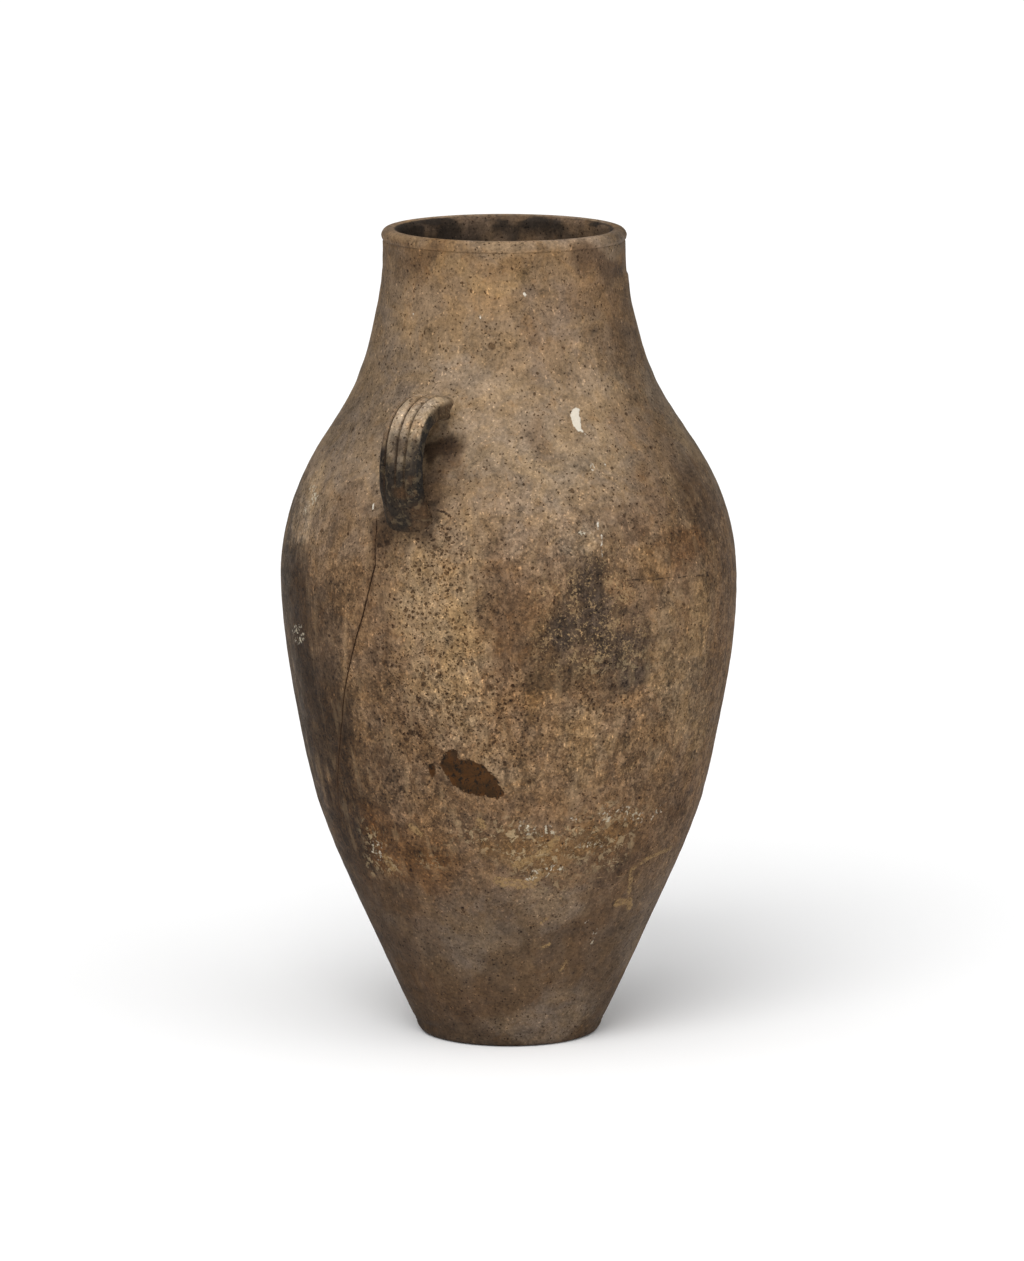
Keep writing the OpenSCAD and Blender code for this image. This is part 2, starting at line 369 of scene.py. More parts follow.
# (phi, z, half width, half height, colour, strength)
STAINS_AND_SHADOWS = [
    (-12, 764, 54, 12, SAND, 0.5), (4, 757, 8, 5, SAND * 1.2, 0.5), (-46, 778, 46, 11, UMBER, 0.65),
    (54, 776, 44, 22, LOAM, 0.75), (26, 706, 42, 52, MAUVE, 0.6), (44, 735, 26, 30, BROWN, 0.55),
    (-60, 745, 26, 34, GREY, 0.5), (64, 700, 36, 60, BROWN, 0.6),
    (-56, 650, 46, 60, GREY * 0.85, 0.6), (-18, 672, 44, 14, PALE, 0.55),
    # On this line and the next, the ovals at (-18, 588), (-21, 615) and (-20, 585) are painted shadow: under
    # the handle's upper root, and cast by the handle down the wall to its right.
    (-64, 600, 50, 46, GREY, 0.6), (-18, 588, 15, 38, UMBER * 1.1, 0.6),
    (-21, 615, 19, 14, BURNT * 0.5, 0.95), (-20, 585, 15, 42, UMBER * 0.8, 0.6),
    (-33, 527, 24, 17, BURNT * 1.1, 0.8), (-33, 512, 22, 18, UMBER, 0.5),
    (-30, 508, 26, 12, UMBER, 0.5), (-61, 485, 17, 36, LOAM * 0.85, 0.65),
    (-76, 500, 15, 50, PALE, 0.7), (-12, 490, 30, 50, TAN * 1.1, 0.5),
    (14, 602, 42, 30, PALE * 1.05, 0.5), (42, 386, 20, 30, TAN, 0.5),
    (4, 170, 26, 14, GREY * 1.05, 0.5), (58, 170, 16, 24, LOAM, 0.5),
    (-38, 172, 18, 20, UMBER * 0.85, 0.6), (-26, 204, 16, 18, RUST * 0.8, 0.6),
    (-50, 290, 20, 28, BURNT, 0.6), (-50, 220, 26, 40, RUST * 0.7, 0.6),
    (-50, 545, 26, 34, LOAM, 0.5), (52, 780, 46, 15, UMBER, 0.6), (-46, 758, 30, 18, LOAM, 0.5),
    (50, 690, 24, 34, LOAM, 0.55), (34, 530, 20, 22, UMBER, 0.6),
    (62, 532, 30, 22, EARTH * 0.85, 0.6), (-70, 550, 15, 28, PALE * 1.2, 0.9),
    (-76, 490, 15, 50, ASH * 1.1, 0.5), (-32, 777, 22, 8, LOAM, 0.6), (19, 709, 12, 12, EARTH, 0.4),
    (8, 625, 15, 14, EARTH, 0.45), (12, 612, 13, 10, LOAM, 0.4), (48, 600, 38, 40, BROWN, 0.45),
    (62, 600, 36, 50, LOAM, 0.5), (64, 545, 52, 52, LOAM * 0.9, 0.85),
    (42, 545, 36, 28, EARTH, 0.6), (20, 528, 22, 12, PALE * 0.9, 0.6),
    (-70, 530, 22, 46, PALE, 0.85), (-66, 500, 30, 16, ASH, 0.5), (-66, 436, 60, 76, BURNT, 0.85),
    (-66, 350, 62, 110, BURNT, 0.9), (-54, 300, 34, 100, BURNT, 0.9),
    (-52, 430, 28, 60, LOAM * 0.92, 0.75), (-12, 440, 30, 40, TAN * 1.1, 0.5),
    (58, 440, 24, 44, TAN, 0.6), (0, 292, 26, 22, TAN * 0.95, 0.5),
    (54, 380, 34, 56, TAN * 0.95, 0.5), (-42, 290, 22, 34, UMBER, 0.6),
    (32, 228, 18, 18, UMBER, 0.6), (34, 170, 22, 30, UMBER, 0.5),
    (-58, 200, 54, 80, BURNT * 1.1, 0.9), (-60, 90, 46, 66, UMBER * 0.9, 0.75),
    (-80, 380, 40, 150, ASH, 0.7), (-84, 200, 36, 90, ASH * 0.8, 0.5),
    (-37, 400, 24, 120, LOAM * 1.12, 0.65), (-40, 272, 22, 44, LOAM, 0.5),
    (-22, 470, 44, 62, TAN, 0.9), (-13, 400, 42, 84, TAN, 0.85),
    (-24, 330, 38, 46, BROWN * 0.95, 0.6), (2, 350, 26, 60, BROWN * 1.15, 0.5),
    (-2, 470, 26, 56, BROWN * 0.92, 0.75), (0, 428, 20, 56, EARTH, 0.8),
    (9, 418, 18, 34, OCHRE * 0.85, 0.75), (10, 370, 18, 44, OCHRE, 0.45),
    (24, 404, 60, 56, UMBER, 0.45), (22, 452, 36, 60, SLATE, 0.5), (11, 396, 28, 26, SOOT, 0.55),
    (31, 386, 34, 18, SLATE, 0.5), (21, 502, 32, 22, SLATE * 1.1, 0.5),
    (20, 466, 24, 40, SLATE * 0.92, 0.95), (16, 432, 36, 24, SLATE, 0.85),
    (28, 412, 40, 20, SLATE, 0.85), (36, 388, 28, 12, SLATE, 0.75), (6, 408, 22, 16, UMBER, 0.7),
    (44, 440, 30, 40, TAN * 0.9, 0.6), (54, 505, 40, 22, RUST * 1.1, 0.75),
    (38, 500, 24, 16, OCHRE, 0.5), (68, 440, 34, 60, BROWN * 1.05, 0.6),
    (50, 370, 34, 50, TAN * 0.88, 0.5), (62, 322, 34, 40, TAN * 0.85, 0.6),
    (22, 322, 32, 50, TAN * 0.86, 0.5), (-36, 212, 44, 26, RUST, 0.85),
    (-24, 190, 38, 22, RUST * 1.05, 0.7), (-44, 160, 34, 30, UMBER * 0.95, 0.6),
    (8, 216, 44, 26, OCHRE, 0.5), (26, 232, 30, 22, OCHRE * 0.9, 0.5),
    (36, 205, 34, 26, UMBER * 1.05, 0.7), (58, 232, 30, 20, UMBER, 0.6),
    (14, 160, 30, 24, GREY * 0.95, 0.75), (-4, 176, 34, 18, BROWN, 0.5),
    (-16, 112, 34, 26, GREY * 0.85, 0.55), (36, 120, 34, 44, UMBER * 1.02, 0.6),
    (12, 104, 26, 24, LOAM * 0.9, 0.5), (66, 110, 34, 60, GREY * 0.9, 0.5),
    (34, 46, 26, 20, GREY * 0.8, 0.65), (-30, 52, 50, 26, UMBER * 0.95, 0.6),
    (-50, 18, 40, 16, BURNT, 0.6), (24, 22, 56, 18, GREY * 0.85, 0.75),
    (-8, 128, 50, 40, GREY * 0.8, 0.4),
]


def behind_stains():
    """Stains for the side the camera doesn't see, of the same kinds as those in front."""
    rng = np.random.default_rng(11)
    kinds = [TAN, PALE, BROWN, UMBER, RUST, OCHRE, SLATE, LOAM, GREY, MAUVE, EARTH]
    made = []
    for _ in range(46):
        phi = rng.uniform(95, 265)
        z = rng.uniform(20, 780)
        w, h = rng.uniform(22, 62, 2)
        colour = kinds[rng.integers(len(kinds))]
        made.append((float(turn(phi)), z, w, h * 1.2, colour, rng.uniform(0.4, 0.85)))
    return made


def tones(phi, z, p):
    """Albedo of the outer wall, with painted shade, shadow and highlight, before the material's own fine
    detail.
    """
    warp = 15 * np.stack([fbm(p, 60, 4, 61), fbm(p, 60, 4, 62), fbm(p, 60, 4, 63)], -1)
    ragged = 0.22 * fbm(p, 16, 3, 65)
    q = p + warp
    f = turn(np.degrees(np.arctan2(q[:, 1], q[:, 0]) - FRONT_ANGLE))
    h = q[:, 2]
    zs = [t[0] for t in HEIGHT_TONES]
    c = np.stack([np.interp(h, zs, [t[1][k] for t in HEIGHT_TONES]) for k in range(3)], -1)
    for phi0, z0, w, t, colour, strength in STAINS_AND_SHADOWS + behind_stains():
        x, y = np.radians(turn(f - phi0)) * float(wall_r(z0)), h - z0
        d = np.hypot(x / w, y / t) + 0.015 * warp[:, 0] + ragged
        k = (strength * smooth(1.3, 0.5, d))[:, None]
        c = c * (1 - k) + colour * k
    # Painted shade at the sides, where the light falls off round the jar: on the right more of it high up and
    # less low down.
    sides = smooth(38, 78, np.abs(phi)) * smooth(125, 90, np.abs(phi))
    right = np.where(phi > 0, 0.14 * smooth(520, 620, z) - 0.22 * smooth(480, 420, z), 0.0)
    painted_side_shade = 1 - sides * (0.24 + right)
    # A little lighter near the foot, in front and right of the middle.
    painted_side_shade = painted_side_shade * (1 + 0.12 * smooth(60, 15, z) * smooth(-10, 20, phi) * smooth(110, 80, phi))
    # Painted highlight: a pale line along the joint under the rim, and the top of the lip paler.
    lip_highlight = 1 + 0.45 * np.exp(-((z - RIM_Z - 2.2) / 0.8) ** 2) + 0.12 * smooth(JAR_H - 4, JAR_H - 1, z)
    return c * ((1 + 0.10 * fbm(p, 140, 2, 64)) * painted_side_shade * lip_highlight)[:, None]


# -------- meshes

def add_field(mesh, name, values, kind="FLOAT"):
    layer = mesh.attributes.new(name, kind, "POINT")
    values = np.asarray(values, np.float32)
    if kind == "FLOAT_COLOR":
        values = np.concatenate([values, np.ones((len(values), 1), np.float32)], 1)
        layer.data.foreach_set("color", values.ravel())
    else:
        layer.data.foreach_set("value", values)


def make_object(name, points, faces, material, nodes, fields, sharp=40):
    """A mesh from mm points and a list of face index arrays, riding on the jar."""
    mesh = bpy.data.meshes.new(name)
    mesh.vertices.add(len(points))
    mesh.vertices.foreach_set("co", (np.asarray(points, np.float64) * MM).astype(np.float32).ravel())
    loops = np.concatenate([f.ravel() for f in faces])
    sizes = np.concatenate([np.full(len(f), f.shape[1]) for f in faces])
    starts = np.concatenate([[0], np.cumsum(sizes)[:-1]])
    mesh.loops.add(len(loops))
    mesh.loops.foreach_set("vertex_index", loops.astype(np.int32))
    mesh.polygons.add(len(sizes))
    mesh.polygons.foreach_set("loop_start", starts.astype(np.int32))
    mesh.update(calc_edges=True)
    mesh.validate()
    mesh.polygons.foreach_set("use_smooth", np.ones(len(mesh.polygons), bool))
    mesh.set_sharp_from_angle(angle=math.radians(sharp))
    for key, value in fields.items():
        add_field(mesh, key, value, "FLOAT_COLOR" if np.ndim(value) == 2 else "FLOAT")
    mesh.materials.append(material)
    piece = bpy.data.objects.new(name, mesh)
    bpy.context.collection.objects.link(piece)
    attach(piece, "root")
    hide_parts(*nodes)
    return piece


def grid_faces(rows, cols, close_rows=False, close_cols=True, flip=False):
    i = np.arange(rows if close_rows else rows - 1)
    j = np.arange(cols if close_cols else cols - 1)
    i, j = np.meshgrid(i, j, indexing="ij")
    i2, j2 = (i + 1) % rows, (j + 1) % cols
    quad = [i * cols + j, i * cols + j2, i2 * cols + j2, i2 * cols + j]
    if flip:
        quad.reverse()
    return np.stack(quad, -1).reshape(-1, 4)


def columns():
    """Column positions in degrees from the camera's side: close in front and closest at the crack."""
    wide, close = 0.95, 0.42
    stops = [(-180, wide), (-100, wide), (-85, close), (-64, 0.40), (-60, 0.24), (-50, 0.17), (-44, 0.24),
             (-38, 0.40), (85, close), (100, wide), (180, wide)]
    u, out = -180.0, []
    while u < 180:
        out.append(u)
        u += np.interp(u, [s[0] for s in stops], [s[1] for s in stops])
    out = np.array(out)
    return (out + 180) * 360 / (out[-1] + wide + 180) - 180


COLUMNS = columns()
# The crack's middle, and how far from it columns still bend with it, in degrees.
CRACK_MEAN = -47.0
CRACK_REACH = 46


def column_angles(z):
    """The columns at height z: those near the crack follow it."""
    shift = crack_phi(z) - CRACK_MEAN
    fade = smooth(0, 1, np.clip(1 - np.abs(COLUMNS - CRACK_MEAN) / CRACK_REACH, 0, 1))
    return COLUMNS + shift * fade


def lathe(node, profile, material, seed=0, dense=True):
    """A closed turned piece. profile is a loop of (radius, height, outside) with outside from 0 to 1."""
    prof = np.array(profile, float)
    cols = COLUMNS if dense else np.arange(-180, 180, 1.5)
    rows = len(prof)
    phi = np.stack([column_angles(z) if dense else cols for z in prof[:, 1]])
    phi = phi.ravel()
    r, z, out = np.repeat(prof, len(cols), axis=0).T
    a = np.radians(phi) + FRONT_ANGLE
    p = on_circle(wall_r(z), a, z)
    q = on_circle(r, a, z)
    move = np.zeros(len(r))
    on = out > 0.001
    move[on] = out[on] * weathering(phi[on], z[on], p[on])
    turns = z / 21 + a / (2 * math.pi)
    swirl = 0.5 * np.sin(turns * 2 * math.pi + 1.2 * noise(q, 80, 71)) + 0.35 * fbm(q, 30, 3, 72 + seed)
    fade = smooth(0, 14, z - prof[:, 1].min())
    move[~on] = (swirl * fade)[~on]
    points = on_circle(r + move, a, z) + lean(z)
    fields = surface_fields(phi, z, p, q, out)
    faces = grid_faces(rows, len(cols), close_rows=True)
    return make_object(node + "_clay", points, [faces], material, [node], fields)


def surface_fields(phi, z, p, q, out):
    """What the material reads at each point: colour and distances in mm to the marks."""
    tone = tones(phi, z, p)
    stretched = q * np.array([0.7, 0.7, 2.6])
    blotch = smooth(-0.1, 0.45, fbm(stretched, 26, 4, 81))[:, None]
    inside = clay(56, 47, 40) * (1 - blotch) + clay(112, 92, 74) * blotch
    k = smooth(0.3, 0.7, out)[:, None]
    tone = np.clip(tone * k + inside * (1 - k), 0.004, 1)
    names = ("crack", "spall", "lime", "crumbs", "ochre", "line", "scratch")
    marks = {mark: np.full(len(z), FAR) for mark in names}
    near = (np.abs(phi) < FRONT) & (out > 0.5)
    if near.any():
        f, h = phi[near], z[near]
        marks["crack"][near] = path_distance(f, h, CRACK)
        marks["spall"][near] = np.minimum(patch_distance(f, h, SPALL), patch_distance(f, h, FLAKE))
        marks["lime"][near] = np.minimum(patch_distance(f, h, FEATHER), strokes_distance(f, h, LIME))
        marks["crumbs"][near] = strokes_distance(f, h, CRUMBS)
        marks["ochre"][near] = strokes_distance(f, h, BRANCH)
        marks["scratch"][near] = strokes_distance(f, h, SCRATCHES)
        marks["line"][near] = strokes_distance(f, h, FINE_LINES)
    zones = np.stack([zone(phi, z, p, kind) for kind in (PITS, CRUST, MOTTLE)], -1)
    zones = zones * np.where(out > 0.5, 1, 0.3)[:, None]
    grit = grit_zone(phi, z, p) * np.where(out > 0.5, 1, 0.5)
    return {"tone": tone, "zones": zones, "grit": grit, **marks}


def grit_zone(phi, z, p):
    """How coarse the skin is: smooth on the neck and foot, crusted round the belly."""
    belly = smooth(585, 500, z) * smooth(110, 250, z)
    coarse = 0.22 + belly * (0.62 + 0.3 * noise(p, 110, 97))
    return np.clip(coarse - 0.3 * blob(phi, z, (-66, 400, 70, 150)), 0.1, 1)


def between(a, b):
    """Points a quarter, a half and three quarters of the way from one profile point to another."""
    return [tuple(u * (1 - t) + v * t for u, v in zip(a, b)) for t in (0.25, 0.5, 0.75)]


def wall_profile(a, b, lap_a, lap_b, rows):
    """Outer face up, joint across, inner face down, joint back."""
    zo = np.linspace(a, b, rows)
    zi = np.linspace(b + lap_b, a + lap_a, max(8, int((b - a) / 13)))
    loop = [(float(wall_r(z)), z, 1.0) for z in zo]
    inner = [(float(bore_r(z)), z, 0.0) for z in zi]
    loop += between(loop[-1], inner[0]) + inner
    loop += between(inner[-1], loop[0])
    return loop


def rim_profile():
    half = (RIM_R - MOUTH_R) / 2
    neck_r = float(wall_r(RIM_Z))
    loop = [(neck_r, RIM_Z, 1.0), (neck_r + 0.3, RIM_Z + 0.8, 1.0), (RIM_R - 0.9, RIM_Z + 1.7, 1.0)]
    for t in np.linspace(10, 172, 26):
        c, s = math.cos(math.radians(t)), math.sin(math.radians(t))
        r = MOUTH_R + half + half * math.copysign(abs(c) ** 0.85, c)
        loop.append((r, RIM_Z + 2.2 + (JAR_H - RIM_Z - 2.8) * s ** 0.8, float(smooth(-0.85, -0.1, c))))
    loop += [(MOUTH_R, RIM_Z, 0.0)]
    return loop + [(MOUTH_R + (neck_r - MOUTH_R) * t, RIM_Z, t) for t in (0.3, 0.6, 0.85)]


def disc_profile():
    edge = float(wall_r(BASE_Z))
    loop = [(2, 0.4, 0.0), (20, 0.6, 0.0), (45, 0.5, 0.0), (70, 0.2, 0.0), (BASE_R - 3, 0.0, 0.0)]
    loop += [(BASE_R, 0.6, 0.4), (BASE_R + 2.0, 2.0, 0.8), (BASE_R + 3.4, 4.0, 0.9)]
    loop += [(BASE_R + 4.6, 6.0, 1.0), (BASE_R + 5.4, 8.0, 1.0)]
    loop += [(edge - 1.4, 10.0, 1.0), (edge - 0.9, 11.2, 1.0), (edge - 0.6, BASE_Z, 1.0)]
    loop += [(float(bore_r(BASE_Z)) + 4, BASE_Z, 0.0), (60, BASE_Z, 0.0)]
    loop += [(30, BASE_Z + 0.4, 0.0), (2, BASE_Z + 0.6, 0.0)]
    return loop


def band_profile(node):
    low, high = foot_of(node), top_of(node)
    thick = 6.0
    zs = np.linspace(low, high, 14)
    loop = [(float(bore_r(z)) + 1.5, z, 0.0) for z in zs]
    for z in zs[::-1]:
        swell = thick * math.sin(math.pi * (z - low) / (high - low))
        loop.append((float(bore_r(z)) + 0.8 - swell, z, 0.0))
    return loop


def coil_profile():
    low, high = foot_of("base_corner_coil"), top_of("base_corner_coil")
    inner = rings("base_corner_coil")[0].min()
    zs = np.linspace(low, high, 7)
    loop = [(float(bore_r(z)) + 1.0, z, 0.0) for z in zs]
    corner = float(bore_r(high)) - 1
    for t in np.linspace(0.12, 1, 9):
        sag = math.sin(math.pi * t) * 3.5
        loop.append((corner * (1 - t) + inner * t - sag * 0.6, high * (1 - t) + low * t - sag * 0.4, 0.0))
    return loop


# -------- materials

class Graph:
    """Short hand for a material's nodes."""

    def __init__(self, name):
        self.material = bpy.data.materials.new(name)
        self.material.use_nodes = True
        self.tree = self.material.node_tree
        self.tree.nodes.clear()

    def node(self, kind, **settings):
        n = self.tree.nodes.new("ShaderNode" + kind)
        for key, value in settings.items():
            setattr(n, key, value)
        return n

    def put(self, socket, value):
        if isinstance(value, bpy.types.NodeSocket):
            self.tree.links.new(value, socket)
        else:
            if isinstance(value, (tuple, np.ndarray)):
                value = [float(v) for v in value]
                if len(value) == 3 and len(socket.default_value) == 4:
                    value = value + [1.0]
            socket.default_value = value

    def math(self, operation, a, b=0.0, c=None):
        n = self.node("Math", operation=operation)
        self.put(n.inputs[0], a)
        self.put(n.inputs[1], b)
        if c is not None:
            self.put(n.inputs[2], c)
        return n.outputs[0]

    def step(self, x, low, high):
        """0 to 1 as x goes smoothly from low to high; high may be the lower one."""
        n = self.node("MapRange", interpolation_type="SMOOTHSTEP")
        flip = high < low
        self.put(n.inputs[0], x)
        self.put(n.inputs[1], min(low, high))
        self.put(n.inputs[2], max(low, high))
        self.put(n.inputs[3], 1.0 if flip else 0.0)
        self.put(n.inputs[4], 0.0 if flip else 1.0)
        return n.outputs[0]

    def mix(self, factor, a, b, blend="MIX"):
        n = self.node("Mix", data_type="RGBA", blend_type=blend)
        self.put(n.inputs[0], factor)
        self.put(n.inputs[6], a)
        self.put(n.inputs[7], b)
        return n.outputs[2]

    def times(self, a, b):
        return self.math("MULTIPLY", a, b)

    def fused(self, a, b, c):
        """a * b + c"""
        return self.math("MULTIPLY_ADD", a, b, c)

    def tint(self, amount, colour, by):
        """The colour multiplied by another, as far as amount."""
        return self.mix(amount, colour, self.mix(1.0, colour, by, "MULTIPLY"))

    def stretch(self, vector, scale):
        n = self.node("VectorMath", operation="MULTIPLY")
        self.put(n.inputs[0], vector)
        n.inputs[1].default_value = scale
        return n.outputs[0]

    def noise(self, vector, scale, detail=3.0, rough=0.55, warp=0.0, output="Fac"):
        n = self.node("TexNoise")
        self.put(n.inputs["Vector"], vector)
        n.inputs["Scale"].default_value = scale
        n.inputs["Detail"].default_value = detail
        n.inputs["Roughness"].default_value = rough
        n.inputs["Distortion"].default_value = warp
        return n.outputs[output]

    def cells(self, vector, scale):
        n = self.node("TexVoronoi")
        self.put(n.inputs["Vector"], vector)
        n.inputs["Scale"].default_value = scale
        split = self.node("SeparateColor")
        self.put(split.inputs[0], n.outputs["Color"])
        return n.outputs["Distance"], split.outputs[0], split.outputs[1]

    def field(self, name, colour=False):
        n = self.node("Attribute", attribute_name=name)
        return n.outputs["Color"] if colour else n.outputs["Fac"]

    def finish(self, colour, rough, height, distance=MM, specular=0.15):
        bump = self.node("Bump")
        bump.inputs["Strength"].default_value = 1.0
        bump.inputs["Distance"].default_value = distance
        self.put(bump.inputs["Height"], height)
        shader = self.node("BsdfPrincipled")
        self.put(shader.inputs["Base Color"], colour)
        self.put(shader.inputs["Roughness"], rough)
        shader.inputs["Specular IOR Level"].default_value = specular
        self.put(shader.inputs["Normal"], bump.outputs[0])
        out = self.node("OutputMaterial")
        self.put(out.inputs[0], shader.outputs[0])
        return self.material


def clay_material(name, marks=True, rough=0.8, shift=0.0):
    g = Graph(name)
    p = g.node("TexCoord").outputs["Object"]
    if shift:
        moved = g.node("VectorMath", operation="ADD")
        g.put(moved.inputs[0], p)
        moved.inputs[1].default_value = (shift, shift * 0.7, -shift)
        p = moved.outputs[0]
    drips = g.stretch(p, (1.0, 1.0, 0.12))
    tall = g.stretch(p, (1.0, 1.0, 0.8))
    turned = g.stretch(p, (0.5, 0.5, 3.5))
    tone = g.field("tone", True)
    zones = g.node("SeparateColor")
    g.put(zones.inputs[0], g.field("zones", True))
    pit_here, crust_here, mottle_here = zones.outputs[:3]
    grit = g.field("grit")

    cloud = g.noise(p, 20, 4, 0.6, 0.6)
    patch = g.noise(p, 75, 4, 0.62, 0.4)
    grain = g.noise(p, 340, 3, 0.65)
    streak = g.noise(drips, 80, 2.5, 0.55, 0.3)
    wheel = g.noise(turned, 40, 4, 0.6)
    hue = g.noise(p, 26, 5, 0.65, 0.8)

    light = 1.0
    for field, amount in ((cloud, 0.9), (patch, g.fused(grit, 0.7, 1.1)),
                          (grain, g.fused(grit, 1.3, 1.4)), (streak, g.fused(grit, 0.6, 0.2)), (wheel, 0.4)):
        light = g.fused(g.math("SUBTRACT", field, 0.5), amount, light)
    light = g.math("MAXIMUM", light, 0.22)
    cast = g.mix(g.step(hue, 0.36, 0.64), (1.03, 0.99, 0.90), (0.965, 0.995, 1.07))
    colour = g.mix(1.0, tone, cast, "MULTIPLY")
    grey = g.node("CombineColor")
    for k in range(3):
        g.put(grey.inputs[k], light)
    colour = g.mix(1.0, colour, grey.outputs[0], "MULTIPLY")

    # Smudges, rusty places, and the fine dark and pale specks of a gritty clay.
    smudge = g.step(g.noise(p, 42, 5, 0.62, 0.5), 0.54, 0.68)
    colour = g.tint(g.times(smudge, g.fused(grit, 0.4, 0.25)), colour, (0.70, 0.69, 0.70))
    rusty = g.step(g.noise(p, 55, 5, 0.66, 0.9), 0.55, 0.66)
    colour = g.tint(g.times(rusty, 0.55), colour, (0.98, 0.87, 0.74))
    dark_speck = g.step(g.noise(p, 560, 2, 0.6), 0.60, 0.70)
    colour = g.tint(g.times(dark_speck, 0.85), colour, (0.42, 0.37, 0.33))
    pale_speck = g.times(g.step(g.noise(p, 610, 2, 0.6), 0.62, 0.72), g.fused(grit, 0.75, 0.2))
    colour = g.tint(g.times(pale_speck, 0.9), colour, (1.85, 1.85, 1.8))

    # A broken pale crust over browner clay, and runs of wash down it.
    crust = g.step(g.noise(tall, 140, 5, 0.68, 0.2), 0.455, 0.545)
    worn = g.mix(crust, (0.68, 0.64, 0.60), (1.20, 1.20, 1.18))
    colour = g.mix(g.times(grit, 0.9), colour, g.mix(1.0, colour, worn, "MULTIPLY"))
    run = g.times(g.step(streak, 0.56, 0.68), grit)
    colour = g.mix(g.times(run, 0.28), colour, clay(158, 134, 104))

    # Dark bloom broken by lighter clay.
    holes = g.times(g.step(g.noise(p, 90, 5, 0.7, 0.4), 0.53, 0.60), mottle_here)
    colour = g.mix(g.times(holes, 0.6), colour, clay(62, 50, 40))
    clumps = g.fused(g.noise(p, 60, 4, 0.65), 0.5, g.noise(p, 380, 4, 0.75, 0.3))
    broken = g.step(clumps, 0.80, 0.86)
    flakes = g.times(g.times(broken, mottle_here), 0.85)
    colour = g.mix(flakes, colour, clay(160, 134, 100))

    height = g.times(patch, 0.5)
    height = g.fused(grain, 0.42, height)
    height = g.fused(wheel, 0.3, height)
    height = g.fused(g.times(crust, grit), 0.22, height)

    # Pits of several sizes, their edges eaten away.
    offset = g.node("VectorMath", operation="MULTIPLY_ADD")
    g.put(offset.inputs[0], g.noise(p, 230, 3, 0.7, output="Color"))
    offset.inputs[1].default_value = (0.0045, 0.0045, 0.0045)
    g.put(offset.inputs[2], p)
    bitten = offset.outputs[0]
    for scale, radius, share, gain, dark in (
            (74.0, 0.24, 0.006, 0.36, 0.5), (125.0, 0.28, 0.008, 0.44, 0.6),
            (230.0, 0.31, 0.04, 0.5, 0.65), (420.0, 0.35, 0.17, 0.46, 0.7)):
        near, pick, size = g.cells(bitten, scale)
        reach = g.fused(size, radius, radius * 0.4)
        inside = g.step(g.math("SUBTRACT", near, reach), 0.04, -0.08)
        chosen = g.math("LESS_THAN", pick, g.fused(pit_here, gain, share))
        pit = g.times(inside, chosen)
        colour = g.tint(g.times(pit, dark + 0.3), colour, (0.32, 0.27, 0.22))
        height = g.fused(pit, -0.35, height)

    # Pale specks and short wiped dashes.
    grained = g.fused(grit, 0.28, g.times(crust_here, 0.3))
    wiped = g.stretch(bitten, (1.0, 1.0, 0.3))
    for vector, scale, limit, share in ((bitten, 400.0, 0.36, 0.06), (wiped, 300.0, 0.26, 0.03)):
        near, pick, size = g.cells(vector, scale)
        inside = g.step(g.math("SUBTRACT", near, g.fused(size, limit, 0.06)), 0.08, -0.04)
        fleck = g.times(inside, g.math("LESS_THAN", pick, g.math("ADD", grained, share)))
        colour = g.tint(g.times(fleck, 0.8), colour, (1.9, 1.85, 1.78))
        height = g.fused(fleck, 0.12, height)

    # Caked lime and dirt.
    cake = g.times(g.step(g.noise(p, 120, 5, 0.72, 0.6), 0.53, 0.58), crust_here)
    colour = g.mix(g.times(cake, 0.85), colour, clay(184, 162, 128))
    height = g.fused(cake, 0.35, height)

    gloss = g.step(g.noise(p, 40, 3, 0.6), 0.4, 0.7)
    roughness = g.fused(gloss, -0.14, rough)
    roughness = g.fused(grain, 0.14, roughness)

    if marks:
        rag = g.math("SUBTRACT", g.noise(p, 420, 3, 0.7), 0.5)
        wide_rag = g.math("SUBTRACT", patch, 0.5)
        spall = g.fused(rag, 7.0, g.fused(wide_rag, 10.0, g.field("spall")))
        spall_in = g.step(spall, 0.5, -0.3)
        bed = g.mix(g.step(g.noise(p, 70, 5, 0.7, 0.6), 0.40, 0.60), clay(78, 48, 18), clay(54, 35, 14))
        bed = g.mix(g.step(g.noise(p, 200, 4, 0.7), 0.52, 0.60), bed, clay(28, 20, 12))
        colour = g.mix(g.times(spall_in, 0.97), colour, bed)
        spots = g.step(g.noise(p, 300, 4, 0.75), 0.46, 0.55)
        ochre = g.fused(rag, 9.0, g.fused(wide_rag, 8.0, g.field("ochre")))
        ochre = g.step(ochre, 0.6, -0.5)
        ochre = g.times(ochre, g.fused(spots, 0.6, 0.15))
        colour = g.mix(ochre, colour, clay(168, 138, 96))
        line = g.step(g.fused(rag, 2.5, g.field("line")), 0.45, -0.25)
        colour = g.mix(g.times(line, 0.85), colour, clay(50, 39, 30))
        scratch = g.step(g.fused(rag, 1.6, g.field("scratch")), 0.8, 0.1)
        colour = g.mix(g.times(scratch, 0.55), colour, clay(170, 146, 110))
        crack = g.field("crack")
        stain = g.step(g.fused(wide_rag, 14.0, crack), 5.0, 0.0)
        colour = g.mix(g.times(stain, 0.35), colour, clay(84, 58, 36))
        gap = g.step(g.fused(rag, 2.0, crack), 1.3, 0.5)
        colour = g.mix(g.times(gap, 0.93), colour, clay(40, 26, 15))
        lime = g.step(g.fused(rag, 4.0, g.field("lime")), 0.4, -0.3)
        crumbs = g.fused(rag, 8.0, g.fused(wide_rag, 12.0, g.field("crumbs")))
        crumbs = g.step(crumbs, 1.5, -1.5)
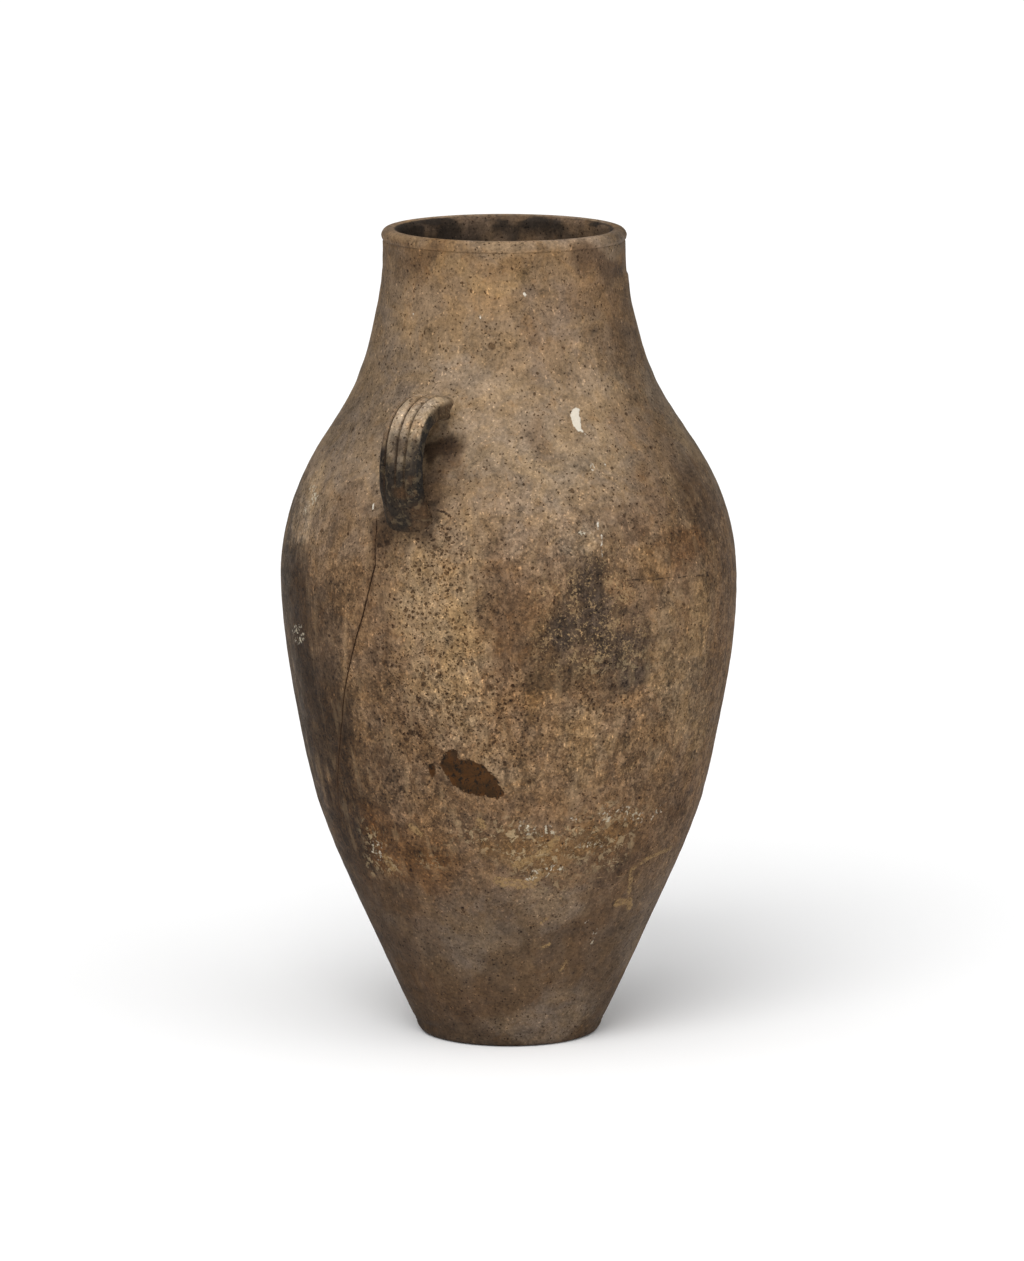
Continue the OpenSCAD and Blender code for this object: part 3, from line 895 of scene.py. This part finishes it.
        lime = g.math("MAXIMUM", lime, g.times(crumbs, g.step(g.noise(p, 250, 3, 0.65), 0.54, 0.60)))
        cream = g.mix(g.step(grain, 0.35, 0.65), clay(186, 174, 150), clay(222, 213, 196))
        white = g.mix(crumbs, clay(232, 226, 214), cream)
        colour = g.mix(g.times(lime, 0.9), colour, white)
        height = g.fused(lime, 0.3, height)
    return g.finish(colour, roughness, height)


BODY = clay_material("old_clay_body")
NECK = clay_material("old_clay_neck", True, 0.78)
RIM = clay_material("old_clay_rim", False, 0.74)
FOOT = clay_material("old_clay_foot", True, 0.82)
HANDLE = clay_material("old_clay_handle", False, 0.72, 0.71)
INNER = clay_material("old_clay_inside", False, 0.85, 0.93)


# -------- the turned pieces

lathe("lower_wall", wall_profile(BASE_Z, KNEE_Z, 0, LAP, 112), BODY)
lathe("middle_wall", wall_profile(KNEE_Z, BELLY_Z, LAP, LAP, 122), BODY)
lathe("shoulder_wall", wall_profile(BELLY_Z, NECK_Z, LAP, LAP, 96), BODY)
lathe("neck", wall_profile(NECK_Z, RIM_Z, LAP, 0, 80), NECK)
lathe("rim", rim_profile(), RIM)
lathe("base_disc", disc_profile(), FOOT)
for band in ("knee_lute_band", "belly_lute_band", "neck_lute_band"):
    lathe(band, band_profile(band), INNER, seed=5, dense=False)
lathe("base_corner_coil", coil_profile(), INNER, seed=9, dense=False)


# -------- the handles

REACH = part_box("right_handle")[1].x / MM
HALF_STRAP = 22.0
HALF_THICK = 8.0
# Where the finger grooves run across the strap, from -1 to 1.
GROOVES = (-0.66, -0.09, 0.36)
# Edges sharper than this many degrees stay sharp on the straps and pads.
SOFT_EDGE = 60


def bezier(p, t):
    t = np.asarray(t, float)[:, None]
    a, b, c, d = (np.array(v, float) for v in p)
    return a * (1 - t) ** 3 + 3 * b * t * (1 - t) ** 2 + 3 * c * t ** 2 * (1 - t) + d * t ** 3


def strap_lines(n):
    """Outer and inner lines of the strap in side view, (distance from the axis, height) in mm."""
    t1, t2 = np.linspace(0, 1, n // 2, endpoint=False), np.linspace(0, 1, n - n // 2)
    outer = np.concatenate([bezier([(146, 651), (180, 657), (213, 649), (226, 616)], t1),
                            bezier([(226, 616), (235, 590), (241, 560), (205, 512)], t2)])
    inner = np.concatenate([bezier([(146, 628), (176, 634), (199, 634), (210, 612)], t1),
                            bezier([(210, 612), (219, 590), (224, 572), (192, 530)], t2)])
    slack = REACH - outer[:, 0].max()
    outer[:, 0] += slack
    inner[:, 0] += slack
    return outer, inner


def strap(side):
    """The handle's strap on side -1 or +1 along X: ribs drawn by fingers, worn edges, roots that spread."""
    name = "left" if side < 0 else "right"
    rows, around = 190, 180
    outer, inner = strap_lines(rows)
    s = np.linspace(0, 1, rows)
    spread = 0.16 * np.exp(-(s / 0.07) ** 2) + 0.16 * smooth(0.8, 0.98, s)
    half = HALF_STRAP * (1 + spread - 0.04 * np.sin(math.pi * s))
    angle = np.linspace(0, 2 * math.pi, 4001)
    v = np.sign(np.cos(angle)) * np.abs(np.cos(angle)) ** 0.5
    h = np.sign(np.sin(angle)) * np.abs(np.sin(angle)) ** 0.5
    run = np.concatenate([[0], np.cumsum(np.hypot(np.diff(v) * HALF_STRAP, np.diff(h) * HALF_THICK))])
    even = (np.arange(around) + 0.5) * run[-1] / around
    v, h = np.interp(even, run, v), np.interp(even, run, h)
    gap = np.min(np.abs(v[:, None] - np.array(GROOVES)[None, :]), axis=1) * HALF_STRAP
    groove_line = np.exp(-(gap / 1.25) ** 2)
    crown = 0.55 - 0.45 * v ** 2 + 0.5 * np.clip(gap / 6, 0, 1) ** 0.6 - 1.1 * groove_line
    t = (h + 1) / 2
    groove_depth = 2.1 * smooth(0.0, 0.1, s) * smooth(0.9, 0.66, s)
    side_view = inner[:, None, :] * (1 - t)[None, :, None] + outer[:, None, :] * t[None, :, None]
    out_dir = outer - inner
    out_dir = out_dir / np.linalg.norm(out_dir, axis=1, keepdims=True)
    lift = (crown[None, :] * groove_depth[:, None] + 0.3) * smooth(0.2, 0.95, h)[None, :]
    rounding = smooth(0.76, 0.94, s)[:, None] * (np.abs(v) ** 3)[None, :]
    lift = lift - 7.0 * rounding * smooth(-0.4, 0.6, h)[None, :]
    side_view = side_view + out_dir[:, None, :] * lift[:, :, None]
    y = side * half[:, None] * v[None, :]
    p = np.stack([side * side_view[:, :, 0], y, side_view[:, :, 1]], -1).reshape(-1, 3)
    centre = np.stack([side * (outer + inner)[:, 0] / 2, 0 * s, (outer + inner)[:, 1] / 2], -1)
    away = p.reshape(rows, around, 3) - centre[:, None, :]
    away = (away / np.maximum(np.linalg.norm(away, axis=2, keepdims=True), 1e-6)).reshape(-1, 3)
    rough = 0.45 * fbm(p, 26, 3, 101 + side) + 0.14 * fbm(p, 6, 2, 103 + side)
    q = p + away * rough[:, None]
    q += lean(q[:, 2])
    points = np.concatenate([q, [q[:around].mean(0)], [q[-around:].mean(0)]])
    body = grid_faces(rows, around, flip=side < 0)
    ring = np.arange(around)
    nxt = (ring + 1) % around
    n = rows * around
    cap_a = np.stack([nxt, ring, np.full(around, n)], -1)
    cap_b = np.stack([ring, nxt, np.full(around, n)], -1) + np.array([n - around, n - around, 1])
    if side < 0:
        cap_a, cap_b = cap_a[:, ::-1], cap_b[:, ::-1]
    # Colour: pale worn ribs above, soot below, a blue-black edge, rust where it has rubbed, and painted shade
    # on the side faces, the inner face, the outermost rib, under the upper root and, with dirt, in the
    # grooves.
    along = np.repeat(s, around)
    across = np.tile(v, rows)
    up = np.tile(h, rows)
    wander = 0.08 * fbm(p, 30, 3, 107 + side)
    sooty = smooth(0.47, 0.60, along + wander)
    ending = smooth(0.89, 0.97, along + 1.3 * wander)
    edge = smooth(0.92, 0.97, across) * smooth(0.2, 0.36, along + 0.5 * wander) * smooth(0.85, 0.75, along)
    # Painted shade on the strap's side faces, away from its outer face.
    side_face_shade = smooth(0.9, 0.98, np.abs(across)) * smooth(0.9, 0.3, up)
    # Dirt and painted shade in the finger grooves.
    groove_dirt_and_shade = np.tile(smooth(0.25, 0.9, groove_line), rows) * smooth(0.2, 0.9, up) * smooth(0.86, 0.7, along)
    rub = smooth(0.1, 0.6, fbm(p, 15, 3, 109 + side))
    # Painted shadow under the strap where it leaves the upper root.
    under = smooth(0.15, 0.05, along + 0.5 * wander) * smooth(-0.1, 0.6, across)
    rubbed = rub * smooth(0.6, 0.75, along) * smooth(-0.3, 0.2, across)
    low = smooth(0.82, 0.92, along + wander) * smooth(-0.1, 0.6, across + 3 * wander)
    tone = np.tile(clay(172, 153, 131), (len(p), 1))
    # Painted shade: the outermost rib on one edge is darker, and so is the inner face of the loop, which
    # faces the wall.
    for amount, colour in (
            (0.75 * smooth(-0.62, -0.7, across), clay(112, 91, 71)), (0.5 * rub, clay(140, 112, 84)),
            (0.95 * side_face_shade, clay(70, 55, 42)), (0.85 * under, clay(72, 56, 43)),
            (0.7 * smooth(0.1, -0.4, up), clay(92, 76, 60)), (0.96 * sooty, clay(27, 21, 17)),
            (0.9 * ending, clay(74, 58, 43)), (0.4 * rubbed, clay(104, 76, 50)),
            (0.8 * groove_dirt_and_shade, clay(64, 50, 38)), (0.9 * edge, clay(40, 38, 37)), (0.35 * low, clay(96, 71, 49))):
        k = np.clip(amount, 0, 1)[:, None]
        tone = tone * (1 - k) + colour * k
    tone = np.concatenate([tone, tone[-2:]])
    zones = np.tile([0.15, 0.15, 0.0], (len(points), 1))
    fields = {"tone": tone, "zones": zones, "grit": np.full(len(points), 0.3)}
    return make_object(name + "_strap_clay", points, [body, np.concatenate([cap_a, cap_b])], HANDLE,
                       [name + "_handle"], fields, SOFT_EDGE)


# How far a pad reaches into the wall, mm.
PAD_DEPTH = 4.0


def root_pad(side, which):
    """Clay smoothed round a handle's root, a skin that rises to the strap and dies out on the wall."""
    name = "left" if side < 0 else "right"
    upper = which == "upper"
    z0 = 640.0 if upper else 532.0
    wide, tall = (47.0, 36.0) if upper else (50.0, 44.0)
    n_a, n_b = 84, 72
    a = np.linspace(-wide, wide, n_a)
    b = np.linspace(-tall, tall, n_b)
    aa, bb = (m.ravel() for m in np.meshgrid(a, b))
    slope = float(wall_r(z0 + 1) - wall_r(z0 - 1)) / 2
    z = z0 + bb / math.sqrt(1 + slope ** 2)
    r = wall_r(z)
    mid = math.degrees(math.atan2(0, side) - FRONT_ANGLE)
    phi = turn(mid + np.degrees(aa / r))
    ang = np.radians(phi) + FRONT_ANGLE
    p = on_circle(r, ang, z)
    if upper:
        gap = np.hypot(np.maximum(np.abs(aa) - 23, 0), np.maximum(np.abs(bb - 1) - 9, 0))
        skin = 9.5 * np.exp(-gap / 6.0) * smooth(26, 8, gap)
    else:
        fan = 20 + 9 * smooth(4, -30, bb)
        gap = np.maximum(np.abs(aa) - fan, 0)
        skin = 5.5 * smooth(-44, -4, bb) * smooth(34, 14, bb)
        skin = skin * np.exp(-(gap / 8.5) ** 1.3) * smooth(28, 14, gap)
    ragged = 1 + 0.25 * fbm(p, 22, 2, 111 + side)
    border = smooth(1, 0.86, np.maximum(np.abs(aa) / wide, np.abs(bb) / tall))
    skin = skin * ragged * border - 0.5 + 0.25 * fbm(p, 12, 2, 113) * border
    wear = weathering(phi, z, p)
    normal = np.stack([np.cos(ang), np.sin(ang), -slope * np.ones_like(z)], -1) / math.sqrt(1 + slope ** 2)
    base = on_circle(r + wear, ang, z)
    top = base + normal * skin[:, None] + lean(z)
    under = base - normal * PAD_DEPTH + lean(z)
    count = len(aa)
    faces_top = grid_faces(n_b, n_a, close_cols=False)
    faces_under = grid_faces(n_b, n_a, close_cols=False, flip=True) + count
    left = [k * n_a for k in range(n_b)]
    right = [k * n_a + n_a - 1 for k in range(n_b)]
    rim_loop = list(range(n_a)) + right[1:] + list(range(count - 2, count - n_a - 1, -1)) + left[-2:0:-1]
    loop = np.array(rim_loop)
    nxt = np.roll(loop, -1)
    skirt = np.stack([loop + count, nxt + count, nxt, loop], -1)
    fields = surface_fields(phi, z, p, p, np.ones(count))
    if upper:
        wiped, tint = 0.5 * smooth(0.2, 4.0, skin), clay(148, 128, 105)
    else:
        wiped = 0.8 * smooth(0.2, 3.0, skin + 1.6 * fbm(p, 14, 3, 115 + side)) * smooth(-30, -4, bb)
        tint = clay(64, 50, 38)
    fields["tone"] = fields["tone"] * (1 - wiped[:, None]) + tint * wiped[:, None]
    fields["zones"] = fields["zones"] * (1 - 0.6 * wiped[:, None])
    both = {k: np.concatenate([v, v]) for k, v in fields.items()}
    return make_object(f"{name}_{which}_pad_clay", np.concatenate([top, under]),
                       [faces_top, faces_under, skirt], BODY,
                       [f"{name}_{which}_root_pad"], both, SOFT_EDGE)


for side in (-1, 1):
    strap(side)
    root_pad(side, "upper")
    root_pad(side, "lower")


# -------- studio

# Each lamp: name, strength, how wide it is, azimuth and height, the last three in degrees.
LAMPS = [("key", 1.45, 38, -80, 42), ("broad", 2.2, 100, -64, 50), ("fill", 0.15, 90, -20, 25)]
SKY = 0.32
# Metres, and the lens in millimetres. The floor is a hair under the foot, so that they don't flicker.
FLOOR_SIZE, FLOOR_DROP = 60, 0.0002
CAMERA_AWAY, CAMERA_UP = 7.5, 1.7
AIM_RIGHT, AIM_UP = 0.00335, 0.4
LENS = 220.6


def floor():
    bpy.ops.mesh.primitive_plane_add(size=FLOOR_SIZE, location=(0, 0, -FLOOR_DROP))
    plane = bpy.context.object
    plane.name = "studio_floor"
    g = Graph("studio_floor_paper")
    where = g.node("TexCoord").outputs["Object"]
    colour = g.mix(g.noise(where, 3.0, 3), (0.93, 0.93, 0.93), (0.94, 0.94, 0.94))
    plane.data.materials.append(g.finish(colour, 0.9, g.noise(where, 900, 2), 0.0001, 0.1))


def lights():
    world = bpy.data.worlds.new("studio")
    bpy.context.scene.world = world
    world.use_nodes = True
    back = world.node_tree.nodes["Background"]
    back.inputs["Color"].default_value = (1.0, 1.0, 1.0, 1.0)
    back.inputs["Strength"].default_value = SKY
    for name, strength, angle, azimuth, height in LAMPS:
        lamp = bpy.data.lights.new(name, "SUN")
        lamp.energy = strength
        lamp.angle = math.radians(angle)
        sun = bpy.data.objects.new(name, lamp)
        bpy.context.collection.objects.link(sun)
        a, e = math.radians(azimuth), math.radians(height)
        back_dir = Vector((math.sin(a) * math.cos(e), -math.cos(a) * math.cos(e), math.sin(e)))
        sun.rotation_euler = (-back_dir).to_track_quat("-Z", "Y").to_euler()


def camera():
    lens = bpy.data.cameras.new("camera")
    lens.lens = LENS
    lens.sensor_width = 36.0
    lens.clip_end = 200.0
    eye = bpy.data.objects.new("camera", lens)
    bpy.context.collection.objects.link(eye)
    eye.location = (TO_CAMERA[0] * CAMERA_AWAY, TO_CAMERA[1] * CAMERA_AWAY, CAMERA_UP)
    aim = Vector((TO_RIGHT[0] * AIM_RIGHT, TO_RIGHT[1] * AIM_RIGHT, AIM_UP))
    eye.rotation_euler = (aim - eye.location).to_track_quat("-Z", "Y").to_euler()
    bpy.context.scene.camera = eye


floor()
lights()
camera()
bpy.context.scene.view_settings.view_transform = "Standard"
bpy.context.scene.view_settings.look = "None"
